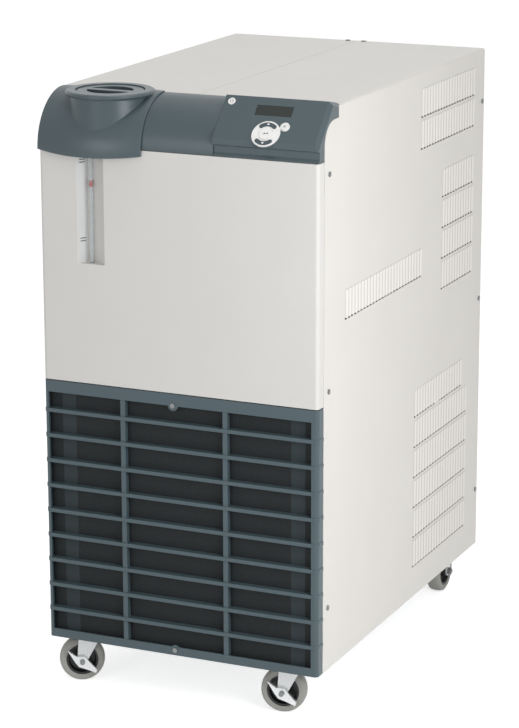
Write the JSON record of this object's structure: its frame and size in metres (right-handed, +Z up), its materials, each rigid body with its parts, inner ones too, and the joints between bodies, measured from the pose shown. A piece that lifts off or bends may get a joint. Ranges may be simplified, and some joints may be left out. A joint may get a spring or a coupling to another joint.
{
  "type": "recirculating chiller",
  "caption": "Floor-standing recirculating chiller in a louvred sheet-metal case, with front intake grille, sloped control face, filler cap, sight tube, rear process ports and casters.",
  "frame": {"origin": "on the floor, centred under the case", "axes": "+Z up; -Y towards the front with the grille and control face; +X to the viewer's right when facing the front"},
  "size_m": [0.482, 0.784, 0.9951],
  "materials": {
    "case_paint": "light warm grey powder coat, fine texture",
    "chassis_steel": "zinc-plated sheet, satin",
    "panel_plastic": "light grey moulding, fine texture",
    "band_plastic": "blue-grey moulding, fine texture",
    "grille_plastic": "blue-grey moulding, fine texture",
    "display_window": "smoked window, glossy",
    "keypad_white": "white satin",
    "key_dark": "dark grey satin",
    "circuit_board": "green lacquer",
    "clear_tube": "clear, glossy",
    "float_red": "red, glossy",
    "filter_mesh": "black woven mesh in a rim",
    "fin_aluminium": "bright fins",
    "galvanised": "galvanised sheet",
    "motor_paint": "dark grey gloss paint",
    "fan_plastic": "black moulding",
    "compressor_paint": "black gloss enamel",
    "grommet_rubber": "black rubber",
    "stainless": "brazed stainless plates",
    "copper_pipe": "copper, dull",
    "tank_plastic": "natural translucent polyethylene",
    "hose_rubber": "black braided hose",
    "pump_paint": "blue-grey enamel",
    "fitting_brass": "nickel-tinted brass",
    "inlet_plastic": "black moulding",
    "toggle_white": "white",
    "screw_zinc": "bright zinc",
    "caster_zinc": "bright zinc plate",
    "hub_black": "black moulding",
    "tyre_grey": "grey non-marking tread",
    "lever_zinc": "pressed zinc-plated steel"
  },
  "bodies": {
    "chassis": {"base_pan": "chassis_steel", "frame_post_left": "chassis_steel", "frame_post_right": "chassis_steel", "mid_rail": "chassis_steel", "tank_shelf": "chassis_steel", "case_side_left": "case_paint", "case_side_right": "case_paint", "rear_panel": "case_paint", "front_panel": "panel_plastic", "reservoir_hood": "band_plastic", "centre_cowl": "band_plastic", "control_housing": "band_plastic", "display_window": "display_window", "keypad_plate": "keypad_white", "control_board": "circuit_board", "sight_tube": "clear_tube", "grille": "grille_plastic", "air_filter": "filter_mesh", "condenser": "fin_aluminium", "fan_shroud": "galvanised", "fan_motor": "motor_paint", "compressor": "compressor_paint", "compressor_grommets": "grommet_rubber", "evaporator": "stainless", "refrigerant_lines": "copper_pipe", "reservoir": "tank_plastic", "pump": "pump_paint", "coolant_hoses": "hose_rubber", "process_fittings": "fitting_brass", "power_inlet": "inlet_plastic", "breaker_body": "inlet_plastic", "case_screws": "screw_zinc", "caster_plate_left": "caster_zinc", "rear_fork_left": "caster_zinc", "caster_plate_right": "caster_zinc", "rear_fork_right": "caster_zinc", "rear_axles": "screw_zinc"},
    "fan": {"fan": "fan_plastic"},
    "fill_cap": {"fill_cap": "band_plastic"},
    "up_key": {"up_key": "key_dark"},
    "down_key": {"down_key": "key_dark"},
    "enter_key": {"enter_key": "keypad_white"},
    "cancel_key": {"cancel_key": "keypad_white"},
    "power_key": {"power_key": "keypad_white"},
    "level_float": {"level_float": "float_red"},
    "breaker_toggle": {"breaker_toggle": "toggle_white"},
    "caster_left": {"caster_fork_left": "caster_zinc", "caster_axle_left": "screw_zinc"},
    "front_wheel_left": {"caster_hub_left": "hub_black", "caster_tyre_left": "tyre_grey"},
    "brake_left": {"brake_lever_left": "lever_zinc"},
    "rear_wheel_left": {"rear_hub_left": "hub_black", "rear_tyre_left": "tyre_grey"},
    "caster_right": {"caster_fork_right": "caster_zinc", "caster_axle_right": "screw_zinc"},
    "front_wheel_right": {"caster_hub_right": "hub_black", "caster_tyre_right": "tyre_grey"},
    "brake_right": {"brake_lever_right": "lever_zinc"},
    "rear_wheel_right": {"rear_hub_right": "hub_black", "rear_tyre_right": "tyre_grey"}
  },
  "joints": [
    {"name": "swivel_left", "type": "hinge", "parent": "chassis", "child": "caster_left", "pos_m": [-0.183, -0.311, 0.09], "axis": [0, 0, 1], "continuous": true},
    {"name": "front_wheel_left_spin", "type": "hinge", "parent": "caster_left", "child": "front_wheel_left", "pos_m": [-0.20419, -0.32227, 0.0375], "axis": [0.4695, -0.8829, 0], "continuous": true},
    {"name": "brake_left_press", "type": "hinge", "parent": "caster_left", "child": "brake_left", "pos_m": [-0.20419, -0.32227, 0.0375], "axis": [0.4695, -0.8829, 0], "range_deg": [0, 30]},
    {"name": "swivel_right", "type": "hinge", "parent": "chassis", "child": "caster_right", "pos_m": [0.183, -0.311, 0.09], "axis": [0, 0, 1], "continuous": true},
    {"name": "front_wheel_right_spin", "type": "hinge", "parent": "caster_right", "child": "front_wheel_right", "pos_m": [0.15952, -0.31599, 0.0375], "axis": [0.2079, -0.9781, 0], "continuous": true},
    {"name": "brake_right_press", "type": "hinge", "parent": "caster_right", "child": "brake_right", "pos_m": [0.15952, -0.31599, 0.0375], "axis": [0.2079, -0.9781, 0], "range_deg": [0, 30]},
    {"name": "rear_wheel_left_spin", "type": "hinge", "parent": "chassis", "child": "rear_wheel_left", "pos_m": [-0.183, 0.332, 0.0375], "axis": [-1, 0, 0], "continuous": true},
    {"name": "rear_wheel_right_spin", "type": "hinge", "parent": "chassis", "child": "rear_wheel_right", "pos_m": [0.183, 0.332, 0.0375], "axis": [1, 0, 0], "continuous": true},
    {"name": "fan_spin", "type": "hinge", "parent": "chassis", "child": "fan", "pos_m": [0.008, -0.27, 0.306], "axis": [0, 1, 0], "continuous": true},
    {"name": "cap_lift", "type": "slide", "parent": "chassis", "child": "fill_cap", "axis": [0, 0, 1], "range_m": [0, 0.07]},
    {"name": "up_key_press", "type": "slide", "parent": "chassis", "child": "up_key", "axis": [0, 0.7369, -0.676], "range_m": [0, 0.0008], "stiffness_N_per_m": 500, "springref_m": -0.0006},
    {"name": "down_key_press", "type": "slide", "parent": "chassis", "child": "down_key", "axis": [0, 0.7369, -0.676], "range_m": [0, 0.0008], "stiffness_N_per_m": 500, "springref_m": -0.0006},
    {"name": "enter_key_press", "type": "slide", "parent": "chassis", "child": "enter_key", "axis": [0, 0.7369, -0.676], "range_m": [0, 0.0008], "stiffness_N_per_m": 500, "springref_m": -0.0006},
    {"name": "cancel_key_press", "type": "slide", "parent": "chassis", "child": "cancel_key", "axis": [0, 0.7369, -0.676], "range_m": [0, 0.0008], "stiffness_N_per_m": 500, "springref_m": -0.0006},
    {"name": "power_key_press", "type": "slide", "parent": "chassis", "child": "power_key", "axis": [0, 0.7369, -0.676], "range_m": [0, 0.0008], "stiffness_N_per_m": 500, "springref_m": -0.0006},
    {"name": "float_travel", "type": "slide", "parent": "chassis", "child": "level_float", "axis": [0, 0, 1], "range_m": [-0.095, 0.045]},
    {"name": "breaker_throw", "type": "hinge", "parent": "chassis", "child": "breaker_toggle", "pos_m": [0.088, 0.3665, 0.56], "axis": [1, 0, 0], "range_deg": [-50, 0]}
  ]
}
